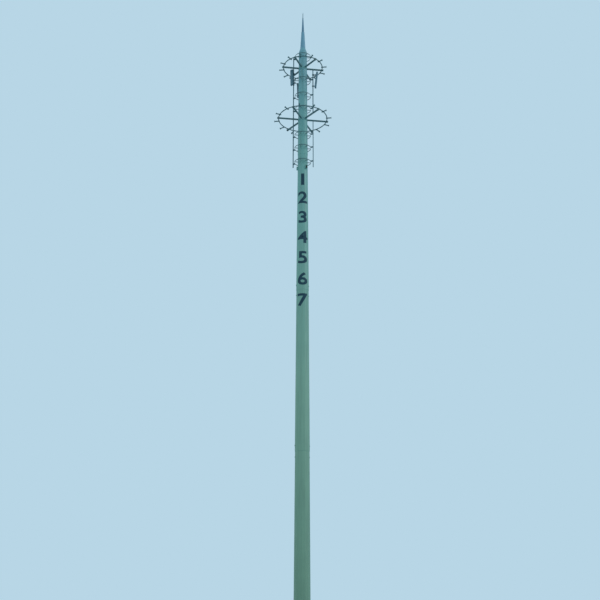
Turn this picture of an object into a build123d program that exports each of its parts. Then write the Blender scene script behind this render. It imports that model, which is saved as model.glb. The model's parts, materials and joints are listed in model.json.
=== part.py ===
"""Monopole cell tower: a tapered many-sided steel shaft with service hoops, two antenna
platforms, three tilting panel antennas and a lightning spire. Millimetres, +Z up, with
the origin on the underside of the base flange, at its centre."""

import os
from math import asin, atan, cos, degrees, radians, sin, tan

from build123d import *

# Gap left where one piece seats on another
SEAT = 0.3

# Base flange and its gussets, sized from the shaft's foot
FLANGE_THICKNESS = 45
FLANGE_INNER_WIDTH = 126
FLANGE_EDGE = 85
ANCHOR_COUNT = 12
ANCHOR_OFFSET = 112
ANCHOR_HOLE_DIAMETER = 56
GUSSET_HEIGHT = 320
GUSSET_THICKNESS = 20
GUSSET_TOP_WIDTH = 40
GUSSET_OUTER_HEIGHT = 80
GUSSET_EDGE_MARGIN = 15

# Shaft: lengths of its five tubes, size at the foot across the flats, and the diameter
# that each tube loses in every metre
SHAFT_SIDES = 16
BASE_DIAMETER = 897
SECTION_1_LENGTH = 10855
SECTION_2_LENGTH = 10700
SECTION_3_LENGTH = 10100
SECTION_4_LENGTH = 2570
HEAD_LENGTH = 5140
SECTION_1_TAPER = 9.5
SECTION_2_TAPER = 11.2
SECTION_3_TAPER = 15
SECTION_4_TAPER = 17
HEAD_TAPER = 10.3
LOWER_WALL = 10
UPPER_WALL = 8

# How far each tube slips over the one below, and the ring that the head stands on
LAP_1 = 1200
LAP_2 = 1100
LAP_3 = 950
HEAD_FOOT_DIAMETER = 576
SEAT_RING_THICKNESS = 20
SEAT_RING_LIP = 30

# Top cone, spire and rod
CONE_LENGTH = 320
CONE_TOP_DIAMETER = 335
SPIRE_LOWER_LENGTH = 1270
SPIRE_STEP_DIAMETER = 205
SPIRE_NECK_DIAMETER = 170
SPIRE_UPPER_LENGTH = 1100
SPIRE_TOP_DIAMETER = 75
SPIRE_WALL = 5
SPIRE_PLATE_THICKNESS = 12
SOCKET_LENGTH = 60
ROD_LENGTH = 350
ROD_DIAMETER = 40
ROD_POINT_LENGTH = 120
ROD_TIP_DIAMETER = 8
ROD_SIDES = 12

# Access cover near the base, closed and bolted
ACCESS_HEIGHT = 1000
ACCESS_ANGLE = -60
ACCESS_WIDTH = 260
ACCESS_LENGTH = 620
ACCESS_CORNER = 70
ACCESS_FRAME_BORDER = 45
ACCESS_FRAME_DEPTH = 70
ACCESS_COVER_THICKNESS = 8
ACCESS_COVER_MARGIN = 15

# Cable ports under the lowest hoop, placed from the foot of the shaft's head
PORT_BELOW_HEAD = 3520
PORT_ANGLES = (-50, 67, 187)
PORT_WIDTH = 150
PORT_LENGTH = 240
PORT_CORNER = 45
PORT_WALL = 8
PORT_DEPTH = 75
PORT_RECESS = 55

# Hoops round the shaft: three placed from the foot of its head, four from its top
HOOPS_BELOW_HEAD = (3060, 2060, 1120)
HOOPS_BELOW_TOP = (4360, 3360, 2200, 360)
HOOP_RADIUS = 520
HOOP_SIDES = 24
HOOP_BAR_THICKNESS = 8
HOOP_BAR_WIDTH = 50
SPOKE_COUNT = 6
SPOKE_ANGLE = 8

# Platforms: the lower one round the foot of the shaft's head, the upper one near its top
LOWER_PLATFORM_ABOVE_HEAD_FOOT = 96
LOWER_PLATFORM_RADIUS = 1560
UPPER_PLATFORM_BELOW_TOP = 1174
UPPER_PLATFORM_RADIUS = 1275
PLATFORM_RING_DIAMETER = 60
PLATFORM_RING_SIDES = 12
PLATFORM_RING_LENGTHS = 24
PLATFORM_ARM_SIZE = 80
ARM_OVERHANG = 50
ARM_END_PLATE_SIZE = 120
ARM_END_PLATE_THICKNESS = 10
COLLAR_THICKNESS = 12
COLLAR_WIDTH = 160
STUB_COUNT = 12
STUB_ANGLE = -7
STUB_REACH = 280
STUB_TAIL = 60
STUB_SIZE = 50
STUB_PLATE_SIZE = 100
STUB_PLATE_THICKNESS = 8

# Upright pipes beside the shaft: angle, distance between the axes, and the ends' heights
CONDUIT_DIAMETER = 50
MAST_DIAMETER = 63
PIPE_WALL = 4
LEFT_ANGLE = 158
LEFT_DISTANCE = 655
RIGHT_ANGLE = -17
RIGHT_DISTANCE = 690
REAR_ANGLE = 108
REAR_DISTANCE = 655
LEFT_FOOT_BELOW_HEAD = 3300
LEFT_END_BELOW_TOP = 280
RIGHT_FOOT_BELOW_HEAD = 3490
RIGHT_END_BELOW_HEAD = 150
MAST_FOOT_BELOW_TOP = 4680
MAST_END_BELOW_TOP = 1410

# V jaws that hold the pipes
JAW_SIDES = 6
JAW_WALL = 12
JAW_EAR = 16
JAW_GAP = 14
SADDLE_HEIGHT = 56

# Radomes of the panel antennas
PANEL_LENGTH = 1150
PANEL_WIDTH = 200
PANEL_DEPTH = 100
PANEL_WALL = 3
PANEL_CORNER_RADIUS = 30
CAP_THICKNESS = 14
CAP_LIP = 3
CONNECTOR_DIAMETER = 28
CONNECTOR_LENGTH = 24
CONNECTOR_SPACING = 90

# Antenna brackets: distances along X are from the front of the pipe's jaw
HINGE_REACH = 39
PANEL_REACH = 76
TILT_BOLT_REACH = 6
HINGE_ABOVE_FOOT = 115
TILT_BOLT_SPACING = 850
TILT_SPAN = 10
BOLT_DIAMETER = 14
SHANK_SIDES = 12
BOLT_HEAD_THICKNESS = 8
BOLT_HEAD_DIAMETER = 26
BOLT_HEAD_GAP = 1
BOLT_CLEARANCE = 0.4
SIDE_CLEARANCE = 5.5
BRACKET_HEIGHT = 50
BOSS_MARGIN = 14
TONGUE_THICKNESS = 16
EAR_THICKNESS = 6
EAR_HEIGHT = 40
EAR_CLIP = 10
ARM_THICKNESS = 6
ARM_HEIGHT = 56
ARM_TAIL = 26
LUG_PLATE_THICKNESS = 6
LUG_PLATE_HEIGHT = 90

# Each antenna's facing angle, tilt as it stands, and its hinge's depth below the shaft's top
LEFT_FACING = 232
LEFT_TILT = 2
LEFT_HINGE_BELOW_TOP = 2320
RIGHT_FACING = -8
RIGHT_TILT = 6
RIGHT_HINGE_BELOW_TOP = 2715
REAR_FACING = 112
REAR_TILT = 4
REAR_HINGE_BELOW_TOP = 2850

MILLIMETRES_PER_METRE = 1000


def prism(radius, foot, top, top_radius=None, sides=SHAFT_SIDES):
    """Upright prism with many sides, radius across the flats, drawn in towards the top."""
    length = top - foot
    taper = degrees(atan((radius - (top_radius or radius)) / length))
    return Pos(0, 0, foot) * extrude(RegularPolygon(radius, sides, major_radius=False), length, taper=taper)


def cone_shell(foot, top, foot_radius, top_radius, wall):
    """Tapered many-sided tube about Z, open at both ends."""
    outside = prism(foot_radius, foot, top, top_radius)
    return outside - prism(foot_radius - wall, foot, top, top_radius - wall)


class Section:
    """One tapered tube of the shaft."""

    def __init__(self, foot, length, foot_diameter, taper, wall):
        self.foot = foot
        self.top = foot + length
        self.foot_diameter = foot_diameter
        self.taper = taper / MILLIMETRES_PER_METRE
        self.wall = wall

    def radius(self, height):
        return (self.foot_diameter - self.taper * (height - self.foot)) / 2

    def shell(self):
        return cone_shell(self.foot, self.top, self.radius(self.foot), self.radius(self.top), self.wall)

    def envelope(self, foot, top, gap):
        """Solid that follows the outside of the tube between two heights, gap larger."""
        return prism(self.radius(foot) + gap, foot, top, self.radius(top) + gap)

    def cavity(self, top):
        """Space inside the tube, from its foot up to a height."""
        return self.envelope(self.foot, top, -self.wall)

    def slipped_on(self, length, lap, taper, wall):
        """The next tube up, pushed down over the top of this one until it grips."""
        foot = self.top - lap
        at_foot = 2 * self.radius(foot)
        at_top = 2 * self.radius(self.top) + lap * taper / MILLIMETRES_PER_METRE
        return Section(foot, length, max(at_foot, at_top) + 2 * (SEAT + wall), taper, wall)


SECTION_1 = Section(FLANGE_THICKNESS, SECTION_1_LENGTH, BASE_DIAMETER, SECTION_1_TAPER, LOWER_WALL)
SECTION_2 = SECTION_1.slipped_on(SECTION_2_LENGTH, LAP_1, SECTION_2_TAPER, LOWER_WALL)
SECTION_3 = SECTION_2.slipped_on(SECTION_3_LENGTH, LAP_2, SECTION_3_TAPER, UPPER_WALL)
SECTION_4 = SECTION_3.slipped_on(SECTION_4_LENGTH, LAP_3, SECTION_4_TAPER, UPPER_WALL)
HEAD = Section(SECTION_4.top, HEAD_LENGTH, HEAD_FOOT_DIAMETER, HEAD_TAPER, UPPER_WALL)
SECTIONS = [SECTION_1, SECTION_2, SECTION_3, SECTION_4, HEAD]

SHAFT_TOP = HEAD.top
CONE_TOP = SHAFT_TOP + CONE_LENGTH
SPIRE_STEP = CONE_TOP + SPIRE_LOWER_LENGTH
SPIRE_TOP = SPIRE_STEP + SPIRE_UPPER_LENGTH
HOOP_HEIGHTS = [HEAD.foot - drop for drop in HOOPS_BELOW_HEAD]
HOOP_HEIGHTS += [SHAFT_TOP - drop for drop in HOOPS_BELOW_TOP]
PORT_HEIGHT = HEAD.foot - PORT_BELOW_HEAD


def section_at(height):
    """The tube that is outermost at a height."""
    return [section for section in SECTIONS if section.foot <= height][-1]


def seat_radius(foot, top):
    """Inside radius of a collar that clears the shaft between two heights."""
    heights = [foot, top] + [section.foot for section in SECTIONS if foot < section.foot < top]
    return max(section_at(height).radius(height) for height in heights) + SEAT


def bar(start, end, width, depth):
    """Straight bar along +X from start to end, centred on the X axis."""
    return Pos((start + end) / 2, 0, 0) * Box(end - start, width, depth)


def strap(start, end, height, thickness):
    """Upright plate along the X axis, with the corners clipped at its end."""
    face = Pos((start + end) / 2, 0) * Rectangle(abs(end - start), height)
    corners = face.vertices().group_by(Axis.X)[-1 if end > start else 0]
    return extrude(Plane.XZ * chamfer(corners, EAR_CLIP), thickness / 2, both=True)


def jaw(bore, start, end, height):
    """Block beside an upright pipe, with a V groove for the pipe to lie in."""
    return bar(start, end, 2 * (bore + JAW_EAR), height) - prism(bore, -height, height, sides=JAW_SIDES)


def spokes(shape):
    """Copies of a shape at the spoke angles."""
    return [Rot(0, 0, SPOKE_ANGLE + i * 360 / SPOKE_COUNT) * shape for i in range(SPOKE_COUNT)]


def at_plan(distance, angle, height):
    """Place at a distance and an angle round the shaft, turned to look outwards."""
    return Pos(0, 0, height) * Rot(0, 0, angle) * Pos(distance, 0, 0)


def anchor_circle_radius():
    return BASE_DIAMETER / 2 + ANCHOR_OFFSET


def flange_radius():
    return anchor_circle_radius() + FLANGE_EDGE


def base_flange():
    """Thick plate with the shaft's number of sides, bored inside the shaft and for its anchors."""
    plate = prism(flange_radius(), 0, FLANGE_THICKNESS)
    bore = prism(BASE_DIAMETER / 2 - FLANGE_INNER_WIDTH, 0, FLANGE_THICKNESS)
    hole = Cylinder(ANCHOR_HOLE_DIAMETER / 2, 3 * FLANGE_THICKNESS)
    holes = [place * hole for place in PolarLocations(anchor_circle_radius(), ANCHOR_COUNT)]
    return plate - bore - holes


def base_gussets():
    """Upright plates between the anchor bolts, cut to the shaft's flats."""
    top = FLANGE_THICKNESS + GUSSET_HEIGHT
    outer = flange_radius() - GUSSET_EDGE_MARGIN
    inner = SECTION_1.radius(top) - GUSSET_THICKNESS
    outline = Polyline(
        (inner, 0, FLANGE_THICKNESS),
        (outer, 0, FLANGE_THICKNESS),
        (outer, 0, FLANGE_THICKNESS + GUSSET_OUTER_HEIGHT),
        (SECTION_1.radius(top) + GUSSET_TOP_WIDTH, 0, top),
        (inner, 0, top),
        close=True,
    )
    plate = extrude(make_face(outline), GUSSET_THICKNESS / 2, both=True)
    step = 360 / ANCHOR_COUNT
    shaft = SECTION_1.envelope(0, 2 * top, SEAT)
    return together(Rot(0, 0, (i + 0.5) * step) * plate - shaft for i in range(ANCHOR_COUNT))


def seat_section():
    """Top tube of the wide shaft, with a ring inside its top for the head to stand on."""
    section = SECTION_4
    inside = section.cavity(section.top - SEAT_RING_THICKNESS)
    bore = HEAD_FOOT_DIAMETER / 2 - HEAD.wall - SEAT_RING_LIP
    return section.envelope(section.foot, section.top, 0) - inside - prism(bore, section.foot, section.top)


def top_cone():
    return cone_shell(SHAFT_TOP, CONE_TOP, HEAD.radius(SHAFT_TOP), CONE_TOP_DIAMETER / 2, HEAD.wall)


def spire_lower():
    return cone_shell(CONE_TOP, SPIRE_STEP, CONE_TOP_DIAMETER / 2, SPIRE_STEP_DIAMETER / 2, SPIRE_WALL)


def spire_upper():
    """Thinner tube on a plate that closes the lower one."""
    plate_top = SPIRE_STEP + SPIRE_PLATE_THICKNESS
    plate = prism(SPIRE_STEP_DIAMETER / 2, SPIRE_STEP, plate_top)
    neck = cone_shell(plate_top, SPIRE_TOP, SPIRE_NECK_DIAMETER / 2, SPIRE_TOP_DIAMETER / 2, SPIRE_WALL)
    return plate + neck


def lightning_rod():
    """Rod with a pointed end, in a stepped socket on top of the spire."""
    socket_top = SPIRE_TOP + SOCKET_LENGTH
    point_foot = socket_top + ROD_LENGTH
    tip = point_foot + ROD_POINT_LENGTH
    socket = prism(SPIRE_TOP_DIAMETER / 2, SPIRE_TOP, socket_top, sides=ROD_SIDES)
    rod = prism(ROD_DIAMETER / 2, socket_top, point_foot, sides=ROD_SIDES)
    point = prism(ROD_DIAMETER / 2, point_foot, tip, ROD_TIP_DIAMETER / 2, sides=ROD_SIDES)
    return socket + rod + point


def clipped_face(width, length, corner):
    """Upright rectangle across the X axis, with its corners clipped."""
    return Plane.YZ * chamfer(Rectangle(width, length).vertices(), corner)


def neck(height, angle, face, bore, front, floor):
    """Short welded neck that stands out of the shaft, bored down to a floor."""
    section = section_at(height)
    block = extrude(face, front) - Pos(floor, 0, 0) * extrude(bore, front)
    placed = Pos(0, 0, height) * Rot(0, 0, angle) * block
    reach = section.radius(height)
    return placed - section.envelope(height - reach, height + reach, SEAT)


def access_frame():
    """Rim round the access opening."""
    outline = clipped_face(
        ACCESS_WIDTH + 2 * ACCESS_FRAME_BORDER, ACCESS_LENGTH + 2 * ACCESS_FRAME_BORDER, ACCESS_CORNER
    )
    front = SECTION_1.radius(ACCESS_HEIGHT) + ACCESS_FRAME_DEPTH
    opening = offset(outline, -ACCESS_FRAME_BORDER)
    return neck(ACCESS_HEIGHT, ACCESS_ANGLE, outline, opening, front, 0)


def access_cover():
    front = SECTION_1.radius(ACCESS_HEIGHT) + ACCESS_FRAME_DEPTH
    border = 2 * (ACCESS_FRAME_BORDER - ACCESS_COVER_MARGIN)
    plate = extrude(
        clipped_face(ACCESS_WIDTH + border, ACCESS_LENGTH + border, ACCESS_CORNER), ACCESS_COVER_THICKNESS
    )
    return at_plan(front, ACCESS_ANGLE, ACCESS_HEIGHT) * plate


def cable_ports():
    """Three short necks, each with a recess closed by its seal."""
    outline = clipped_face(PORT_WIDTH, PORT_LENGTH, PORT_CORNER)
    front = section_at(PORT_HEIGHT).radius(PORT_HEIGHT) + PORT_DEPTH
    recess = offset(outline, -PORT_WALL)
    return together(
        neck(PORT_HEIGHT, angle, outline, recess, front, front - PORT_RECESS) for angle in PORT_ANGLES
    )


def hoop(height):
    """Flat bars on edge: six spokes from the shaft's flats, and the hoop that they carry."""
    foot = height - HOOP_BAR_WIDTH / 2
    inner = seat_radius(foot, foot + HOOP_BAR_WIDTH)
    bore = RegularPolygon(inner, SHAFT_SIDES, major_radius=False)
    rim_inside = HOOP_RADIUS - HOOP_BAR_THICKNESS / 2
    rim = RegularPolygon(rim_inside + HOOP_BAR_THICKNESS, HOOP_SIDES, major_radius=False)
    rim -= RegularPolygon(rim_inside, HOOP_SIDES, major_radius=False)
    spoke = Pos((inner + HOOP_RADIUS) / 2, 0) * Rectangle(HOOP_RADIUS - inner, HOOP_BAR_THICKNESS)
    return Pos(0, 0, foot) * extrude(rim + spokes(spoke) - bore, HOOP_BAR_WIDTH)


class Platform:
    """A ring on six arms, with a collar round the shaft."""

    def __init__(self, height, radius):
        self.height = height
        self.radius = radius
        self.top = height - PLATFORM_RING_DIAMETER / 2 - SEAT

    def frame(self):
        """Collar, and square arms that run out under the ring, each closed by an end plate."""
        foot = self.top - COLLAR_WIDTH
        inner = seat_radius(foot, self.top)
        end = self.radius + PLATFORM_RING_DIAMETER / 2 + ARM_OVERHANG
        arm = bar(inner, end, PLATFORM_ARM_SIZE, PLATFORM_ARM_SIZE)
        arm += bar(end, end + ARM_END_PLATE_THICKNESS, ARM_END_PLATE_SIZE, ARM_END_PLATE_SIZE)
        arms = spokes(Pos(0, 0, self.top - PLATFORM_ARM_SIZE / 2) * arm)
        collar = prism(inner + COLLAR_THICKNESS, foot, self.top)
        return collar + arms - prism(inner, foot - COLLAR_WIDTH, self.top + COLLAR_WIDTH)

    def ring(self):
        """Straight lengths of pipe, mitred and welded end to end."""
        step = 360 / PLATFORM_RING_LENGTHS
        half = radians(step / 2)
        pipe = Rot(0, 0, 180 / PLATFORM_RING_SIDES) * prism(
            PLATFORM_RING_DIAMETER / 2, -self.radius, self.radius, sides=PLATFORM_RING_SIDES
        )
        pipe = Pos(self.radius, 0, 0) * Rot(90, 0, 0) * pipe
        reach = 2 * self.radius
        wedge = Polyline((0, 0), (reach, -reach * tan(half)), (reach, reach * tan(half)), close=True)
        length = pipe & extrude(make_face(wedge), PLATFORM_RING_DIAMETER, both=True)
        lengths = [Rot(0, 0, SPOKE_ANGLE + i * step) * length for i in range(PLATFORM_RING_LENGTHS)]
        return Pos(0, 0, self.height) * lengths[0].fuse(*lengths[1:])

    def stubs(self):
        """Short bars under the ring that reach outwards, each with an upright end plate."""
        end = self.radius + STUB_REACH
        stub = bar(self.radius - STUB_TAIL, end, STUB_SIZE, STUB_SIZE)
        plate = bar(end, end + STUB_PLATE_THICKNESS, STUB_PLATE_SIZE, STUB_PLATE_SIZE)
        piece = Pos(0, 0, self.top - STUB_SIZE / 2) * (stub + plate)
        step = 360 / STUB_COUNT
        return together(Rot(0, 0, STUB_ANGLE + i * step) * piece for i in range(STUB_COUNT))


PLATFORMS = {
    "lower_platform": Platform(HEAD.foot + LOWER_PLATFORM_ABOVE_HEAD_FOOT, LOWER_PLATFORM_RADIUS),
    "upper_platform": Platform(SHAFT_TOP - UPPER_PLATFORM_BELOW_TOP, UPPER_PLATFORM_RADIUS),
}


class Upright:
    """A pipe that stands beside the shaft, held to the hoops that it passes."""

    def __init__(self, angle, distance, diameter, foot, top):
        self.angle = angle
        self.distance = distance
        self.diameter = diameter
        self.foot = foot
        self.top = top
        self.bore = diameter / 2 + SEAT
        margin = SADDLE_HEIGHT / 2
        self.hoops = [h for h in HOOP_HEIGHTS if foot + margin < h < top - margin]

    def pipe(self):
        standing = (Align.CENTER, Align.CENTER, Align.MIN)
        length = self.top - self.foot
        tube = Cylinder(self.diameter / 2, length, align=standing)
        tube -= Cylinder(self.diameter / 2 - PIPE_WALL, length, align=standing)
        return at_plan(self.distance, self.angle, self.foot) * tube

    def saddles(self):
        """A block between the hoop and the pipe, at each hoop."""
        start = HOOP_RADIUS - self.distance
        rim = prism(
            HOOP_RADIUS + HOOP_BAR_THICKNESS / 2 + SEAT, -SADDLE_HEIGHT, SADDLE_HEIGHT, sides=HOOP_SIDES
        )
        block = jaw(self.bore, start, -JAW_GAP / 2, SADDLE_HEIGHT)
        saddle = block - Pos(-self.distance, 0, 0) * Rot(0, 0, -self.angle) * rim
        return [at_plan(self.distance, self.angle, height) * saddle for height in self.hoops]


MAST_ENDS = (SHAFT_TOP - MAST_FOOT_BELOW_TOP, SHAFT_TOP - MAST_END_BELOW_TOP)
LEFT_ENDS = (HEAD.foot - LEFT_FOOT_BELOW_HEAD, SHAFT_TOP - LEFT_END_BELOW_TOP)
RIGHT_ENDS = (HEAD.foot - RIGHT_FOOT_BELOW_HEAD, HEAD.foot - RIGHT_END_BELOW_HEAD)
LEFT_CONDUIT = Upright(LEFT_ANGLE, LEFT_DISTANCE, MAST_DIAMETER, *LEFT_ENDS)
RIGHT_CONDUIT = Upright(RIGHT_ANGLE, RIGHT_DISTANCE, CONDUIT_DIAMETER, *RIGHT_ENDS)
RIGHT_MAST = Upright(RIGHT_ANGLE, RIGHT_DISTANCE, MAST_DIAMETER, *MAST_ENDS)
REAR_MAST = Upright(REAR_ANGLE, REAR_DISTANCE, MAST_DIAMETER, *MAST_ENDS)


class Antenna:
    """A panel antenna that tilts on two brackets on an upright pipe. In its own frame the
    antenna faces +X, the pipe's axis is at X = 0 and the hinge's height is Z = 0."""

    def __init__(self, upright, facing, tilt, hinge_height):
        self.upright = upright
        self.facing = facing
        self.tilt = tilt
        self.hinge_height = hinge_height
        self.bore = upright.bore
        self.half_width = self.bore + JAW_EAR
        self.front = self.bore / cos(radians(180 / JAW_SIDES)) + JAW_WALL
        self.hinge = self.front + HINGE_REACH
        self.tilt_bolt = self.front + TILT_BOLT_REACH
        self.back = self.front + PANEL_REACH

    def placed(self, shape):
        """Put a shape from the antenna's own frame at its pipe."""
        centre = at_plan(self.upright.distance, self.upright.angle, self.hinge_height).position
        return Pos(centre.X, centre.Y, centre.Z) * Rot(0, 0, self.facing) * shape

    def tilted(self, shape):
        """The same, leaned forwards about the hinge by the tilt as it stands."""
        hinge = Pos(self.hinge, 0, 0)
        return self.placed(hinge * Rot(0, self.tilt, 0) * hinge.inverse() * shape)

    def brackets(self):
        """Lower jaws with a tongue and the hinge bolt, upper jaws with a boss and the tilt bolt."""
        front_jaw = jaw(self.bore, JAW_GAP / 2, self.front, BRACKET_HEIGHT)
        rear_jaw = jaw(self.bore, -self.front, -JAW_GAP / 2, BRACKET_HEIGHT)
        tongue = strap(self.front, self.hinge + EAR_HEIGHT / 2, EAR_HEIGHT, TONGUE_THICKNESS)
        reach = TONGUE_THICKNESS / 2 + SIDE_CLEARANCE + EAR_THICKNESS
        lower = front_jaw + tongue + self.bolt(self.hinge, reach)
        boss = bar(self.front, self.tilt_bolt + BOSS_MARGIN, 2 * self.half_width, BRACKET_HEIGHT)
        reach = self.half_width + SIDE_CLEARANCE + ARM_THICKNESS
        upper = front_jaw + boss + self.bolt(self.tilt_bolt, reach)
        raised = Pos(0, 0, TILT_BOLT_SPACING)
        return [self.placed(piece) for piece in (lower, rear_jaw, raised * upper, raised * rear_jaw)]

    def bolt(self, distance, reach):
        """Cross bolt along Y with a head outside the plates at each end."""
        length = reach + BOLT_HEAD_GAP + BOLT_HEAD_THICKNESS
        shank = prism(BOLT_DIAMETER / 2, -length, length, sides=SHANK_SIDES)
        head = extrude(RegularPolygon(BOLT_HEAD_DIAMETER / 2, 6), BOLT_HEAD_THICKNESS / 2, both=True)
        end = reach + BOLT_HEAD_GAP + BOLT_HEAD_THICKNESS / 2
        whole = shank + Pos(0, 0, end) * head + Pos(0, 0, -end) * head
        return Pos(distance, 0, 0) * Rot(90, 0, 0) * whole

    def outline(self, inset):
        """Section of the radome: flat back, rounded front corners."""
        face = Pos(self.back + PANEL_DEPTH / 2, 0) * Rectangle(
            PANEL_DEPTH - 2 * inset, PANEL_WIDTH - 2 * inset
        )
        front = face.vertices().group_by(Axis.X)[-1]
        return fillet(front, PANEL_CORNER_RADIUS - inset)

    def panel(self):
        shell = extrude(self.outline(0) - self.outline(PANEL_WALL), PANEL_LENGTH - 2 * CAP_THICKNESS)
        return self.tilted(Pos(0, 0, CAP_THICKNESS - HINGE_ABOVE_FOOT) * shell)

    def end_caps(self):
        """Lid and foot of the radome, a little proud of its sides, with two sockets on the foot."""
        cap = extrude(self.outline(-CAP_LIP), CAP_THICKNESS)
        nut = extrude(RegularPolygon(CONNECTOR_DIAMETER / 2, 6), -CONNECTOR_LENGTH)
        middle = self.back + PANEL_DEPTH / 2
        nuts = [Pos(middle, y, 0) * nut for y in (-CONNECTOR_SPACING / 2, CONNECTOR_SPACING / 2)]
        foot = Pos(0, 0, -HINGE_ABOVE_FOOT) * (cap + nuts)
        lid = Pos(0, 0, PANEL_LENGTH - CAP_THICKNESS - HINGE_ABOVE_FOOT) * cap
        return [self.tilted(foot), self.tilted(lid)]

    def lug_plate(self, width, height):
        """Plate on the back of the radome, centred at a height."""
        plate = bar(self.back - LUG_PLATE_THICKNESS, self.back, width, LUG_PLATE_HEIGHT)
        return Pos(0, 0, height) * plate

    def lugs(self):
        """Lower lug with two ears on the hinge bolt, upper lug with two slotted arms."""
        side = TONGUE_THICKNESS / 2 + SIDE_CLEARANCE + EAR_THICKNESS / 2
        ear = strap(self.back - LUG_PLATE_THICKNESS, self.hinge - EAR_HEIGHT / 2, EAR_HEIGHT, EAR_THICKNESS)
        ears = [Pos(0, y, 0) * ear for y in (-side, side)]
        hole = Cylinder(BOLT_DIAMETER / 2 + BOLT_CLEARANCE, 4 * side)
        lower = self.lug_plate(2 * self.half_width, 0) + ears
        lower -= Pos(self.hinge, 0, 0) * Rot(90, 0, 0) * hole
        return [self.tilted(lower), self.tilted(self.arms())]

    def arms(self):
        """Two arms past the sides of the upper jaw, each with an arc slot for the tilt bolt."""
        offset_back = self.hinge - self.tilt_bolt
        radius = (offset_back**2 + TILT_BOLT_SPACING**2) ** 0.5
        lean = degrees(asin(offset_back / radius))
        slot_end = radians(lean + TILT_SPAN)
        path = CenterArc((self.hinge, 0), radius, 90 + lean, TILT_SPAN)
        slot = SlotArc(path, BOLT_DIAMETER + 2 * BOLT_CLEARANCE)
        cutter = extrude(Plane.XZ * slot, 3 * self.half_width, both=True)
        tail = self.hinge - radius * sin(slot_end) - ARM_TAIL
        height = (TILT_BOLT_SPACING + radius * cos(slot_end)) / 2
        side = self.half_width + SIDE_CLEARANCE + ARM_THICKNESS / 2
        plate = self.lug_plate(2 * side + ARM_THICKNESS, height)
        arm = strap(self.back - LUG_PLATE_THICKNESS, tail, ARM_HEIGHT, ARM_THICKNESS)
        return plate + [Pos(0, y, height) * arm for y in (-side, side)] - cutter


ANTENNAS = {
    "left": Antenna(LEFT_CONDUIT, LEFT_FACING, LEFT_TILT, SHAFT_TOP - LEFT_HINGE_BELOW_TOP),
    "right": Antenna(RIGHT_MAST, RIGHT_FACING, RIGHT_TILT, SHAFT_TOP - RIGHT_HINGE_BELOW_TOP),
    "rear": Antenna(REAR_MAST, REAR_FACING, REAR_TILT, SHAFT_TOP - REAR_HINGE_BELOW_TOP),
}


def together(shapes):
    """Separate solids of one node."""
    return Compound(children=list(shapes))


def build():
    """Every node of the tower by name."""
    nodes = {
        "base_flange": base_flange(),
        "base_gussets": base_gussets(),
        "shaft_section_1": SECTION_1.shell(),
        "shaft_section_2": SECTION_2.shell(),
        "shaft_section_3": SECTION_3.shell(),
        "shaft_section_4": seat_section(),
        "shaft_section_5": HEAD.shell(),
        "top_cone": top_cone(),
        "spire_lower": spire_lower(),
        "spire_upper": spire_upper(),
        "lightning_rod": lightning_rod(),
        "access_frame": access_frame(),
        "access_cover": access_cover(),
        "cable_ports": cable_ports(),
        "left_conduit": LEFT_CONDUIT.pipe(),
        "right_conduit": RIGHT_CONDUIT.pipe(),
        "right_mast": RIGHT_MAST.pipe(),
        "rear_mast": REAR_MAST.pipe(),
        "left_pipe_clamps": together(LEFT_CONDUIT.saddles()),
        "right_pipe_clamps": together(RIGHT_CONDUIT.saddles() + RIGHT_MAST.saddles()),
        "rear_pipe_clamps": together(REAR_MAST.saddles()),
    }
    for index, height in enumerate(HOOP_HEIGHTS):
        nodes[f"hoop_{index + 1}"] = hoop(height)
    for name, platform in PLATFORMS.items():
        nodes[f"{name}_frame"] = platform.frame()
        nodes[f"{name}_ring"] = platform.ring()
        nodes[f"{name}_stubs"] = platform.stubs()
    for name, antenna in ANTENNAS.items():
        nodes[f"{name}_antenna_brackets"] = together(antenna.brackets())
        nodes[f"{name}_antenna_panel"] = antenna.panel()
        nodes[f"{name}_antenna_caps"] = together(antenna.end_caps())
        nodes[f"{name}_antenna_lugs"] = together(antenna.lugs())
    return nodes


def main():
    os.makedirs("parts", exist_ok=True)
    for name, shape in build().items():
        export_step(shape, f"parts/{name}.step")


main()
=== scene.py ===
"""Looks of the monopole cell tower: finishes, fasteners, welds, seals and painted numerals.

Everything is in metres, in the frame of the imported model: +Z runs up the shaft, and the
camera stands on the -Y side. Sizes that a class needs are its fields. Where a piece sits on
a CAD node, its place is read from that node, so the two stay together.
"""

import json
import logging
import math
from dataclasses import dataclass, replace
from enum import Enum
from functools import cached_property
from typing import Iterable, Sequence

import bmesh
import bpy
from mathutils import Matrix, Vector

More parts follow.
